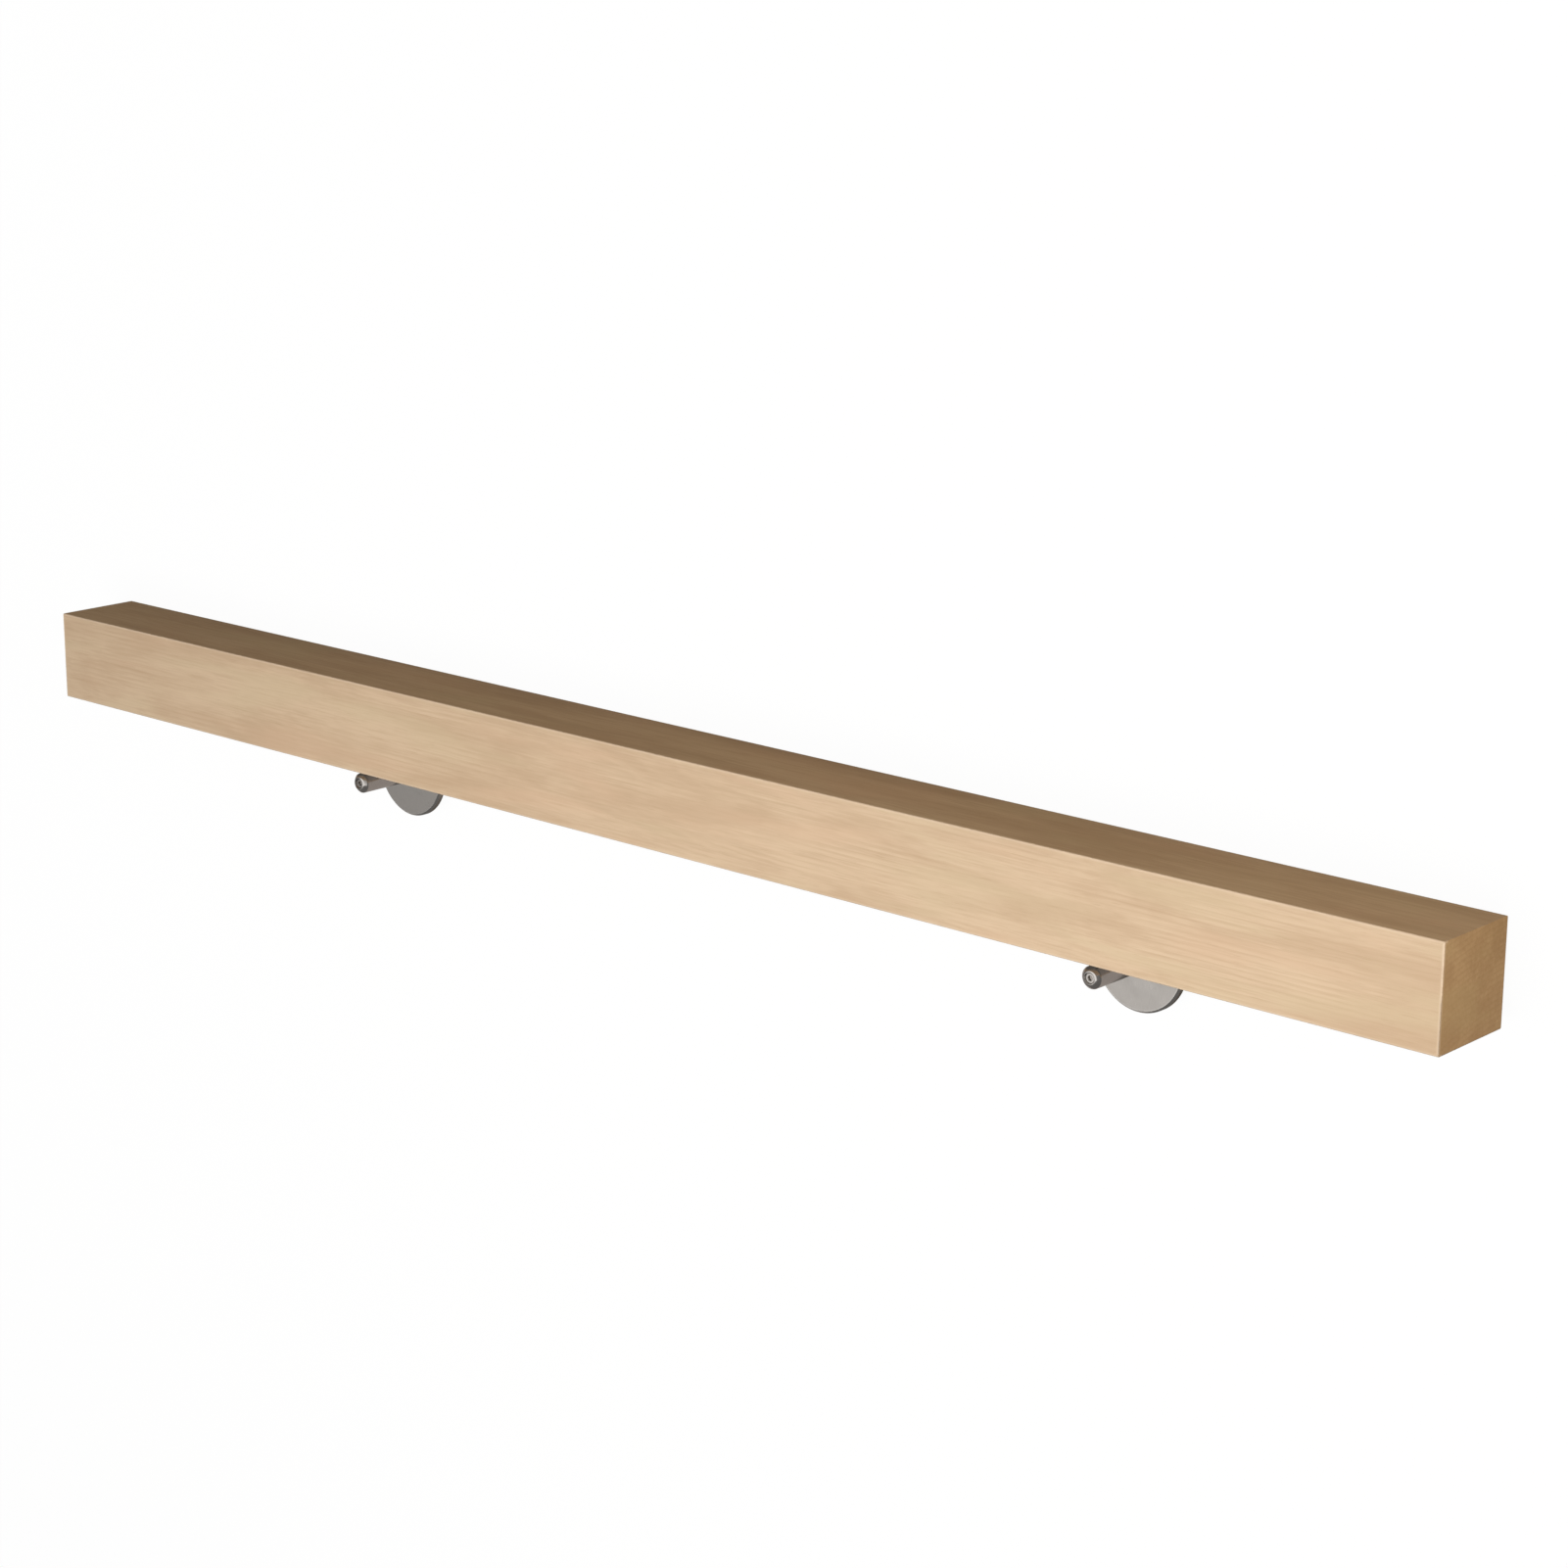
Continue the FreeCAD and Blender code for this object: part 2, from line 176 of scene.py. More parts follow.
class Nodes:
    """Short words for wiring a node tree: each call adds one node and returns its output."""

    def __init__(self, tree):
        self.tree = tree

    def add(self, kind, **settings):
        node = self.tree.nodes.new(kind)
        for name, value in settings.items():
            setattr(node, name, value)
        return node

    def feed(self, socket, source):
        if isinstance(source, bpy.types.NodeSocket):
            self.tree.links.new(source, socket)
        else:
            socket.default_value = source

    def maths(self, operation, first, second=0.0):
        node = self.add("ShaderNodeMath", operation=operation)
        self.feed(node.inputs[0], first)
        self.feed(node.inputs[1], second)
        return node.outputs[0]

    def squared(self, value):
        return self.maths("MULTIPLY", value, value)

    def stretch(self, vector, across):
        """Scales each direction by its own number, so that a pattern runs finer along it."""
        node = self.add("ShaderNodeVectorMath", operation="MULTIPLY")
        self.feed(node.inputs[0], vector)
        self.feed(node.inputs[1], across)
        return node.outputs[0]

    def noise(self, vector, scale=1.0, detail=2.0, roughness=0.5, distortion=0.0):
        node = self.add("ShaderNodeTexNoise")
        self.feed(node.inputs["Vector"], vector)
        node.inputs["Scale"].default_value = scale
        node.inputs["Detail"].default_value = detail
        node.inputs["Roughness"].default_value = roughness
        node.inputs["Distortion"].default_value = distortion
        return node.outputs["Fac"]

    def spread(self, value, low, high, to_low=0.0, to_high=1.0):
        """Goes smoothly from to_low to to_high as the value goes from low to high."""
        node = self.add("ShaderNodeMapRange", interpolation_type="SMOOTHSTEP")
        for name, source in (("Value", value), ("From Min", low), ("From Max", high),
                             ("To Min", to_low), ("To Max", to_high)):
            self.feed(node.inputs[name], source)
        return node.outputs["Result"]

    def blend(self, how, amount, first, second):
        """Mixes two colours, which a Mix node takes at sockets 6 and 7 and gives at output 2."""
        node = self.add("ShaderNodeMix", data_type="RGBA", blend_type=how)
        self.feed(node.inputs[0], amount)
        self.feed(node.inputs[6], first)
        self.feed(node.inputs[7], second)
        return node.outputs[2]

    def split(self, vector):
        node = self.add("ShaderNodeSeparateXYZ")
        self.feed(node.inputs[0], vector)
        return node.outputs

    def own_place(self):
        """Where a point lies on its own piece, in metres."""
        return self.add("ShaderNodeTexCoord").outputs["Object"]

    def bump(self, height, strength, distance):
        node = self.add("ShaderNodeBump")
        node.inputs["Strength"].default_value = strength
        node.inputs["Distance"].default_value = distance
        self.feed(node.inputs["Height"], height)
        return node.outputs["Normal"]


def new_group(name, inputs, outputs):
    """An empty shader node group with named sockets, given as (name, kind, value)."""
    tree = bpy.data.node_groups.new(name, "ShaderNodeTree")
    for label, kind, value in inputs:
        socket = tree.interface.new_socket(label, in_out="INPUT", socket_type=kind)
        if value is not None:
            socket.default_value = value
    for label, kind in outputs:
        tree.interface.new_socket(label, in_out="OUTPUT", socket_type=kind)
    start = tree.nodes.new("NodeGroupInput").outputs
    finish = tree.nodes.new("NodeGroupOutput").inputs
    return tree, Nodes(tree), start, finish


# Maple's growth rings are shells around a heart that lay well below this board, so the front
# shows them edge on as long faint lines, the top shows wide soft figure, and the sawn end
# shows nearly level bands. Fine pores run lengthwise and open as dots at the ends.
HEART_BEHIND, HEART_BELOW = 0.055, -0.160
RING_SPACING, RING_WANDER, RING_EDGE = 0.0031, 0.012, 0.93
RING_SHARPNESS = 3.0
RINGS_ON_SIDES, RINGS_ON_ENDS = 0.6, 0.5
RINGS_START, RINGS_FULL = 0.40, 0.62
PORES_START, PORES_FULL = 0.60, 0.74
SAWN_STARTS, SAWN_FULL = 0.6, 0.9
MAPLE_PALE = (0.638, 0.482, 0.328, 1)
MAPLE_DEEP = (0.488, 0.338, 0.214, 1)
MAPLE_WARM = (0.630, 0.440, 0.296, 1)
MAPLE_GREEN = (0.592, 0.470, 0.304, 1)
MAPLE_FLECK = (0.420, 0.280, 0.160, 1)
MAPLE_END = (0.825, 0.752, 0.612, 1)
MAPLE_FLECK_AMOUNT = 0.36
# Arris colours: a paler front line, partly wear and partly a painted highlight, and a grey lower
# line that is painted shade.
ARRIS_SHADE_GREY = (0.60, 0.58, 0.57, 1)
ARRIS_PALE = (0.760, 0.610, 0.455, 1)
ARRIS_WIDTH, ARRIS_PALE_AMOUNT = 0.0017, 0.85
ARRIS_PATCH_STARTS, ARRIS_PATCH_FULL, ARRIS_PATCH_LEAST = 0.25, 0.65, 0.45
LOWER_SHADE_ENDS, LOWER_SHADE_FULL, LOWER_SHADE_EDGE = 0.55, 0.45, 0.45
PALE_NEAR_FRONT, PALE_ENDS = 0.0020, 0.0035
MAPLE_SATIN, MAPLE_DULL = 0.44, 0.54
SATIN_STREAK, DULL_STREAK, STREAK_RELIEF = 0.3, 0.7, 0.8
END_ROUGHER, ARRIS_SMOOTHER = 0.12, 0.08
MAPLE_SPECULAR = 0.35
GRAIN_BUMP, GRAIN_DEPTH = 0.22, 0.00015

# How fine each pattern is along the rail, towards the wall and upwards, and then the colours
# that are laid over the pale wood: the pattern, where it starts and is full, how much, and what.
DRIFT_GRAIN = (1.6, 9.0, 9.0)
CLEAR_GRAIN = (9.0, 40.0, 40.0)
STREAK_GRAIN = (26.0, 620.0, 620.0)
FIGURE_GRAIN = (8.0, 46.0, 46.0)
TINT_GRAIN = (7.0, 16.0, 40.0)
PORE_GRAIN = (70.0, 2300.0, 2300.0)
MAPLE_LAYERS = (
    ("streaks", 0.40, 0.72, 0.50, MAPLE_DEEP),
    ("figure", 0.39, 0.66, 0.58, MAPLE_DEEP),
    ("tint", 0.52, 0.70, 0.45, MAPLE_WARM),
    ("tint", 0.48, 0.32, 0.45, MAPLE_GREEN),
)


def wood_grain_mask(nodes, place):
    """The patterns of plain-sawn maple, each from 0 to 1: growth rings, the patches where the
    sides show them, fine streaks, broad figure, tint and pores."""
    behind, above = nodes.split(place)[1:]
    drift = nodes.noise(nodes.stretch(place, DRIFT_GRAIN))
    shift = nodes.maths("MULTIPLY", nodes.maths("SUBTRACT", drift, 0.5), RING_WANDER)
    run_y = nodes.maths("SUBTRACT", behind, HEART_BEHIND)
    run_z = nodes.maths("SUBTRACT", above, HEART_BELOW)
    square = nodes.maths("ADD", nodes.squared(run_y), nodes.squared(run_z))
    shell = nodes.maths("ADD", nodes.maths("SQRT", square), shift)
    phase = nodes.maths("FRACT", nodes.maths("DIVIDE", shell, RING_SPACING))
    late = nodes.spread(phase, RING_EDGE, 1.0, 1.0, 0.0)
    return {
        "rings": nodes.maths("MULTIPLY", nodes.maths("POWER", phase, RING_SHARPNESS), late),
        "clear": nodes.spread(nodes.noise(nodes.stretch(place, CLEAR_GRAIN)),
                              RINGS_START, RINGS_FULL),
        "streaks": nodes.noise(nodes.stretch(place, STREAK_GRAIN), detail=4.0, roughness=0.62),
        "figure": nodes.noise(nodes.stretch(place, FIGURE_GRAIN), detail=4.0, roughness=0.66,
                              distortion=0.4),
        "tint": nodes.noise(nodes.stretch(place, TINT_GRAIN), distortion=0.3),
        "pores": nodes.spread(nodes.noise(nodes.stretch(place, PORE_GRAIN)),
                              PORES_START, PORES_FULL),
    }


def edge_mask(nodes, place, size, width):
    """One along the edges of a box of the given size, fading out over the given width."""
    near = []
    for reach, whole in zip(nodes.split(place), size):
        off = nodes.maths("ABSOLUTE", nodes.maths("SUBTRACT", reach, whole / 2))
        near.append(nodes.maths("SUBTRACT", whole / 2, off))
    smaller = nodes.maths("MINIMUM", near[0], near[1])
    larger = nodes.maths("MAXIMUM", near[0], near[1])
    middle = nodes.maths("MAXIMUM", smaller, nodes.maths("MINIMUM", larger, near[2]))
    return nodes.spread(middle, 0.0, width, 1.0, 0.0)


def maple_material():
    material = bpy.data.materials.new("maple")
    material.use_nodes = True
    nodes = Nodes(material.node_tree)
    shader = material.node_tree.nodes["Principled BSDF"]
    place = nodes.own_place()
    grain = wood_grain_mask(nodes, place)
    facing = nodes.split(nodes.add("ShaderNodeTexCoord").outputs["Normal"])[0]
    end_grain = nodes.spread(nodes.maths("ABSOLUTE", facing), SAWN_STARTS, SAWN_FULL)
    shown = nodes.maths("MAXIMUM", nodes.maths("MULTIPLY", grain["clear"], RINGS_ON_SIDES),
                        nodes.maths("MULTIPLY", end_grain, RINGS_ON_ENDS))
    rings = nodes.maths("MULTIPLY", grain["rings"], shown)
    colour = nodes.blend("MIX", rings, MAPLE_PALE, MAPLE_DEEP)
    for pattern, start, full, amount, layer in MAPLE_LAYERS:
        share = nodes.spread(grain[pattern], start, full, 0.0, amount)
        colour = nodes.blend("MIX", share, colour, layer)
    flecks = nodes.maths("MULTIPLY", grain["pores"], MAPLE_FLECK_AMOUNT)
    colour = nodes.blend("MIX", flecks, colour, MAPLE_FLECK)
    colour = nodes.blend("MULTIPLY", end_grain, colour, MAPLE_END)

    # The front arrises are paler, partly from the wear of hands and partly a painted highlight,
    # and the lower arrises are darkened grey as painted shade.
    arris = edge_mask(nodes, place, (RAIL_LENGTH, RAIL_SIDE, RAIL_SIDE), ARRIS_WIDTH)
    patchy_wear_and_light = nodes.spread(grain["streaks"], ARRIS_PATCH_STARTS, ARRIS_PATCH_FULL, ARRIS_PATCH_LEAST, 1.0)
    arris_wear_and_light = nodes.maths("MULTIPLY", arris, patchy_wear_and_light)
    behind, above = nodes.split(place)[1:]
    handled = nodes.spread(behind, PALE_ENDS, PALE_NEAR_FRONT, 0.0, ARRIS_PALE_AMOUNT)
    # Painted shade: the grey along the lower arrises.
    lower_arris_shade = nodes.maths("MULTIPLY",
                        nodes.spread(above, LOWER_SHADE_ENDS * RAIL_SIDE, LOWER_SHADE_FULL * RAIL_SIDE),
                        nodes.spread(arris, LOWER_SHADE_EDGE, 1.0))
    # The pale front line is partly wear and partly a painted highlight; the grey lower line is
    # painted shade.
    colour = nodes.blend("MIX", nodes.maths("MULTIPLY", arris_wear_and_light, handled), colour, ARRIS_PALE)
    colour = nodes.blend("MULTIPLY", nodes.maths("MULTIPLY", arris_wear_and_light, lower_arris_shade), colour, ARRIS_SHADE_GREY)
    nodes.feed(shader.inputs["Base Color"], colour)

    rough = nodes.spread(grain["streaks"], SATIN_STREAK, DULL_STREAK, MAPLE_SATIN, MAPLE_DULL)
    rough = nodes.maths("ADD", rough, nodes.maths("MULTIPLY", end_grain, END_ROUGHER))
    rough = nodes.maths("SUBTRACT", rough, nodes.maths("MULTIPLY", arris_wear_and_light, ARRIS_SMOOTHER))
    nodes.feed(shader.inputs["Roughness"], rough)
    shader.inputs["Specular IOR Level"].default_value = MAPLE_SPECULAR
    raised = nodes.maths("MULTIPLY", grain["streaks"], STREAK_RELIEF)
    relief = nodes.maths("SUBTRACT", raised, grain["pores"])
    nodes.feed(shader.inputs["Normal"], nodes.bump(relief, GRAIN_BUMP, GRAIN_DEPTH))
    return material


new_piece("rail_maple", rail_mesh(), HANDRAIL, maple_material(), "rail_wood", "rail")


# Each saddle is a flat stainless plate under the rail with rounded corners and broken edges.
# The middle hole is sunk from above for the saddle screw, and the outer two from below.
STEEL_TINT = (0.606, 0.579, 0.550, 1)
STEEL_DARK = (0.486, 0.461, 0.436, 1)
# STEEL_BRIGHT lightens turned rims, partly as wear and partly as a painted highlight.
STEEL_BRIGHT = (0.680, 0.662, 0.640, 1)
SADDLE_LENGTH, SADDLE_WIDTH, SADDLE_THICK = 0.064, 0.026, 0.003
SADDLE_CORNER, SADDLE_BREAK = 0.005, 0.0003
CORNER_STEPS = 8
HOLE_CLEARANCE = 0.00005
RAIL_SCREW_RADIUS, RAIL_SCREW_HEAD = 0.002, 0.00375
SADDLE_SCREW_RADIUS, SADDLE_SCREW_HEAD = 0.0025, 0.0045
HAZE_SCALE, HAZE_STARTS, HAZE_FULL, HAZE_TONE = 90.0, 0.5, 0.75, 0.25
LINES_START, LINES_FULL, LINES_TONE = 0.35, 0.7, 0.5
RIM_PATCH_SCALE, RIM_PATCH_STARTS, RIM_PATCH_FULL, RIM_PATCH_LEAST = 700.0, 0.25, 0.6, 0.3
RIM_SMOOTHER = 0.06
BRUSHING_DEPTH = 0.00005


def brushing_group():
    """Fine parallel scratches: a roughness, their lines, and a broad haze of handling."""
    tree, nodes, start, finish = new_group(
        "fine brushing",
        [("Place", "NodeSocketVector", None), ("Across", "NodeSocketVector", (1.0, 1.0, 1.0)),
         ("Base Roughness", "NodeSocketFloat", 0.28), ("Spread", "NodeSocketFloat", 0.1)],
        [("Roughness", "NodeSocketFloat"), ("Lines", "NodeSocketFloat"),
         ("Haze", "NodeSocketFloat")])
    lines = nodes.noise(nodes.stretch(start["Place"], start["Across"]), detail=3.0, roughness=0.6)
    haze = nodes.noise(start["Place"], HAZE_SCALE, detail=3.0)
    centred = nodes.maths("ADD", nodes.maths("SUBTRACT", lines, 0.5),
                          nodes.maths("SUBTRACT", haze, 0.5))
    varied = nodes.maths("MULTIPLY", centred, start["Spread"])
    nodes.feed(finish["Roughness"], nodes.maths("ADD", start["Base Roughness"], varied))
    nodes.feed(finish["Lines"], lines)
    nodes.feed(finish["Haze"], haze)
    return tree


def rim_wear_and_glint_group():
    """One on a turned rim of the given radius and level along Y, fading over its width."""
    tree, nodes, start, finish = new_group(
        "rim wear and glint",
        [("Place", "NodeSocketVector", None), ("Radius", "NodeSocketFloat", 0.01),
         ("Level", "NodeSocketFloat", 0.0), ("Width", "NodeSocketFloat", 0.001)],
        [("Mask", "NodeSocketFloat")])
    x, y, z = nodes.split(start["Place"])
    square = nodes.maths("ADD", nodes.squared(x), nodes.squared(z))
    out = nodes.maths("SUBTRACT", nodes.maths("SQRT", square), start["Radius"])
    over = nodes.maths("SUBTRACT", y, start["Level"])
    away = nodes.maths("SQRT", nodes.maths("ADD", nodes.squared(out), nodes.squared(over)))
    # The rim is brightened partly as wear and partly as a painted highlight.
    patchy = nodes.noise(start["Place"], RIM_PATCH_SCALE, detail=3.0, roughness=0.6)
    mask = nodes.spread(away, start["Width"], 0.0)
    patchy_wear_and_light = nodes.spread(patchy, RIM_PATCH_STARTS, RIM_PATCH_FULL, RIM_PATCH_LEAST, 1.0)
    nodes.feed(finish["Mask"], nodes.maths("MULTIPLY", mask, patchy_wear_and_light))
    return tree


BRUSHING = brushing_group()
RIM_WEAR_AND_GLINT = rim_wear_and_glint_group()


def steel_material(name, across, roughness, spread, strength, rims=()):
    """Brushed stainless steel. Its scratches run the way that `across` is lowest, and each rim
    (radius, level along Y, width) is made brighter, partly as wear and partly as a painted
    highlight."""
    material = bpy.data.materials.new(name)
    material.use_nodes = True
    nodes = Nodes(material.node_tree)
    shader = material.node_tree.nodes["Principled BSDF"]
    place = nodes.own_place()
    brushing = nodes.add("ShaderNodeGroup", node_tree=BRUSHING)
    for label, value in (("Place", place), ("Across", across), ("Base Roughness", roughness),
                         ("Spread", spread)):
        nodes.feed(brushing.inputs[label], value)
    tone = nodes.spread(brushing.outputs["Lines"], LINES_START, LINES_FULL, 0.0, LINES_TONE)
    colour = nodes.blend("MIX", tone, STEEL_TINT, STEEL_DARK)
    handled = nodes.spread(brushing.outputs["Haze"], HAZE_STARTS, HAZE_FULL, 0.0, HAZE_TONE)
    colour = nodes.blend("MIX", handled, colour, STEEL_DARK)
    rough = brushing.outputs["Roughness"]
    # Each rim is brightened, partly as wear and partly as a painted highlight.
    for radius, level, width in rims:
        wear = nodes.add("ShaderNodeGroup", node_tree=RIM_WEAR_AND_GLINT)
        for label, value in (("Place", place), ("Radius", radius), ("Level", level),
                             ("Width", width)):
            nodes.feed(wear.inputs[label], value)
        patchy_wear_and_light = wear.outputs["Mask"]
        colour = nodes.blend("MIX", patchy_wear_and_light, colour, STEEL_BRIGHT)
        rough = nodes.maths("SUBTRACT", rough, nodes.maths("MULTIPLY", patchy_wear_and_light, RIM_SMOOTHER))
    nodes.feed(shader.inputs["Base Color"], colour)
    nodes.feed(shader.inputs["Roughness"], rough)
    shader.inputs["Metallic"].default_value = 1.0
    relief = nodes.bump(brushing.outputs["Lines"], strength, BRUSHING_DEPTH)
    nodes.feed(shader.inputs["Normal"], relief)
    return material


def sunk_hole(radius, head):
    """The cutter for a countersunk hole: its wide end at the origin, running up Y."""
    wide, narrow = head + HOLE_CLEARANCE, radius + HOLE_CLEARANCE
    return turned_mesh("sunk hole", [
        (-DRILL_START, 0),
        (-DRILL_START, wide),
        (0.0, wide),
        (head - radius, narrow),
        (2 * SADDLE_THICK, narrow),
        (2 * SADDLE_THICK, 0),
    ], turns=64)


def saddle_mesh(name):
    """The plate, its top face level with the origin and its thickness below."""
    corners = []
    for quarter in range(4):
        across = (SADDLE_LENGTH / 2 - SADDLE_CORNER) * (1 if quarter in (0, 3) else -1)
        over = (SADDLE_WIDTH / 2 - SADDLE_CORNER) * (1 if quarter in (0, 1) else -1)
        for step in range(CORNER_STEPS + 1):
            angle = math.radians(90 * quarter + 90 * step / CORNER_STEPS)
            corners.append((across + SADDLE_CORNER * math.cos(angle),
                            over + SADDLE_CORNER * math.sin(angle)))
    body = bmesh.new()
    sheet = body.faces.new([body.verts.new((x, y, -SADDLE_THICK)) for x, y in corners])
    raised = bmesh.ops.extrude_face_region(body, geom=[sheet])["geom"]
    bmesh.ops.translate(body, vec=(0, 0, SADDLE_THICK),
                        verts=[item for item in raised if isinstance(item, bmesh.types.BMVert)])
    rim = [edge for edge in body.edges if edge.calc_face_angle(0) > REAL_CORNER]
    bmesh.ops.bevel(body, geom=rim, offset=SADDLE_BREAK, segments=2, profile=0.5, affect="EDGES")
    holes = [(sunk_hole(SADDLE_SCREW_RADIUS, SADDLE_SCREW_HEAD), UPRIGHT.inverted())]
    for offset in (-SCREW_OFFSET, SCREW_OFFSET):
        place = Matrix.Translation((offset, 0, -SADDLE_THICK)) @ UPRIGHT
        holes.append((sunk_hole(RAIL_SCREW_RADIUS, RAIL_SCREW_HEAD), place))
    return cut(finished_mesh(name, body), *holes)


saddle_steel = steel_material("brushed saddle steel", across=(260, 7000, 7000), roughness=0.30,
                              spread=0.12, strength=0.06)
under_rail = {side: HANDRAIL @ Matrix.Translation((along, RAIL_SIDE / 2, 0))
              for side, along in bracket_along.items()}
for side, place in under_rail.items():
    new_piece(f"{side}_saddle_plate", saddle_mesh(f"{side}_saddle_plate"), place, saddle_steel,
              "bracket_steel", f"{side}_saddle")


# Two stainless wood screws hold each saddle up against the rail. They have countersunk heads
# with a cross recess, a plain neck, and a rolled thread that runs out to a point.
RAIL_SCREW_LENGTH, RAIL_SCREW_POINT, RAIL_SCREW_NECK = 0.028, 0.004, 0.009
RAIL_THREAD_PITCH, RAIL_THREAD_DEPTH, RAIL_THREAD_ROWS = 0.0018, 0.0006, 8
HEAD_BREAK, NECK_TAPER = 0.0001, 0.0006
CROSS_LENGTH, CROSS_WIDTH, CROSS_DEPTH, CROSS_TURN = 0.0042, 0.0009, 0.0021, 0.5
SLOT_LENGTH_LEFT, SLOT_WIDTH_LEFT = 0.35, 0.55
SOCKET_START = -0.0004
RAIL_HEAD_WEAR_AND_GLINT = 0.0007


def tapered_slot(length, width, depth):
    """A slot cutter with its wide end just outside the origin, narrowing up Y."""
    body = bmesh.new()
    bmesh.ops.create_cube(body, size=1.0)
    for vert in body.verts:
        deep = vert.co.y > 0
        vert.co.x *= length * (SLOT_LENGTH_LEFT if deep else 1.0)
        vert.co.z *= width * (SLOT_WIDTH_LEFT if deep else 1.0)
        vert.co.y = depth if deep else SOCKET_START
    return finished_mesh("slot", body)


def rail_screw_mesh(name):
    """Head face at the origin, point up Y."""
    sink = RAIL_SCREW_HEAD - RAIL_SCREW_RADIUS
    core = RAIL_SCREW_RADIUS - RAIL_THREAD_DEPTH
    shoulder = RAIL_SCREW_LENGTH - RAIL_SCREW_POINT
    thread = core, RAIL_THREAD_DEPTH, RAIL_THREAD_PITCH, RAIL_THREAD_ROWS
    outline = [(0, 0), (0, RAIL_SCREW_HEAD - HEAD_BREAK), (HEAD_BREAK, RAIL_SCREW_HEAD),
               (sink, RAIL_SCREW_RADIUS), (RAIL_SCREW_NECK - NECK_TAPER, RAIL_SCREW_RADIUS)]
    outline += threaded(RAIL_SCREW_NECK, shoulder, *thread)
    for y, *_ in threaded(shoulder, RAIL_SCREW_LENGTH, *thread)[1:-1]:
        left = (RAIL_SCREW_LENGTH - y) / RAIL_SCREW_POINT
        outline.append((y, core * left, RAIL_THREAD_DEPTH * left))
    outline.append((RAIL_SCREW_LENGTH, 0))
    slots = [(tapered_slot(CROSS_LENGTH, CROSS_WIDTH, CROSS_DEPTH), Matrix.Rotation(turn, 4, "Y"))
             for turn in (CROSS_TURN, CROSS_TURN + math.pi / 2)]
    return cut(turned_mesh(name, outline, turns=32, pitch=RAIL_THREAD_PITCH), *slots)


screw_steel = steel_material("bright screw steel", across=(900, 5000, 900), roughness=0.22,
                             spread=0.10, strength=0.04,
                             rims=[(RAIL_SCREW_HEAD, 0.0, RAIL_HEAD_WEAR_AND_GLINT)])
for side, place in under_rail.items():
    for letter, offset in (("a", -SCREW_OFFSET), ("b", SCREW_OFFSET)):
        name = f"{side}_rail_screw_{letter}"
        seat = place @ Matrix.Translation((offset, 0, -SADDLE_THICK)) @ UPRIGHT
        new_piece(name, rail_screw_mesh(name), seat, screw_steel, "screw_steel",
                  f"{side}_wood_screw_{letter}")


# The post is a short turned stainless pin that stands in the arm and carries the saddle. It is
# tapped from above for the saddle screw, a countersunk machine screw with a hexagon socket, and
# has a milled flat in front, on which the set screw bears.
ARM_DROP = 0.0143
POST_RADIUS, POST_SEAT, POST_TOP = 0.004, 0.004, ARM_DROP - SADDLE_THICK
POST_BREAK = 0.0003
POST_FLAT_AT, POST_FLAT_HALF = 0.0034, 0.0035
POST_RIM_WEAR_AND_GLINT = 0.0006
SADDLE_SCREW_LENGTH, SADDLE_THREAD_PITCH, SADDLE_THREAD_DEPTH = 0.009, 0.0008, 0.0004
SADDLE_THREAD_TAPER, SADDLE_SCREW_TIP = 0.0003, 0.0006
SADDLE_HEX_FLATS, SADDLE_HEX_DEPTH = 0.003, 0.0015
HEX_POINT = 0.3


def post_mesh(name):
    """The pin standing up Y, its seat in the arm below the origin."""
    tapped = SADDLE_SCREW_RADIUS + HOLE_CLEARANCE
    outline = [
        (-POST_SEAT, 0),
        (-POST_SEAT, POST_RADIUS - POST_BREAK),
        (-POST_SEAT + POST_BREAK, POST_RADIUS),
        (POST_TOP - POST_BREAK, POST_RADIUS),
        (POST_TOP, POST_RADIUS - POST_BREAK),
        (POST_TOP, tapped),
        (POST_TOP - SADDLE_SCREW_LENGTH, tapped),
        (POST_TOP - SADDLE_SCREW_LENGTH, 0),
    ]
    milled = bmesh.new()
    bmesh.ops.create_cube(milled, size=1.0)
    bmesh.ops.scale(milled, vec=(4 * POST_RADIUS, 2 * POST_FLAT_HALF, POST_RADIUS),
                    verts=milled.verts)
    away = finished_mesh("flat", milled, smooth=False)
    in_front = Matrix.Translation((0, 0, POST_FLAT_AT + POST_RADIUS / 2))
    return cut(turned_mesh(name, outline, turns=64), (away, in_front))


def hex_socket(flats, depth):
    """A hexagon cutter up Y from just outside the origin, with a drilled point."""
    body = bmesh.new()
    corner = flats / math.sqrt(3)
    angles = [math.radians(60 * i) for i in range(6)]
    rings = []
    for y, reach in ((SOCKET_START, corner), (depth, corner), (depth + HEX_POINT * corner, 0.0)):
        if reach:
            rings.append([body.verts.new((reach * math.cos(angle), y, reach * math.sin(angle)))
                          for angle in angles])
        else:
            rings.append([body.verts.new((0, y, 0))] * 6)
    body.faces.new(rings[0])
    for i in range(6):
        j = (i + 1) % 6
        body.faces.new((rings[0][i], rings[0][j], rings[1][j], rings[1][i]))
        body.faces.new((rings[1][i], rings[1][j], rings[2][0]))
    return finished_mesh("hexagon", body, smooth=False)


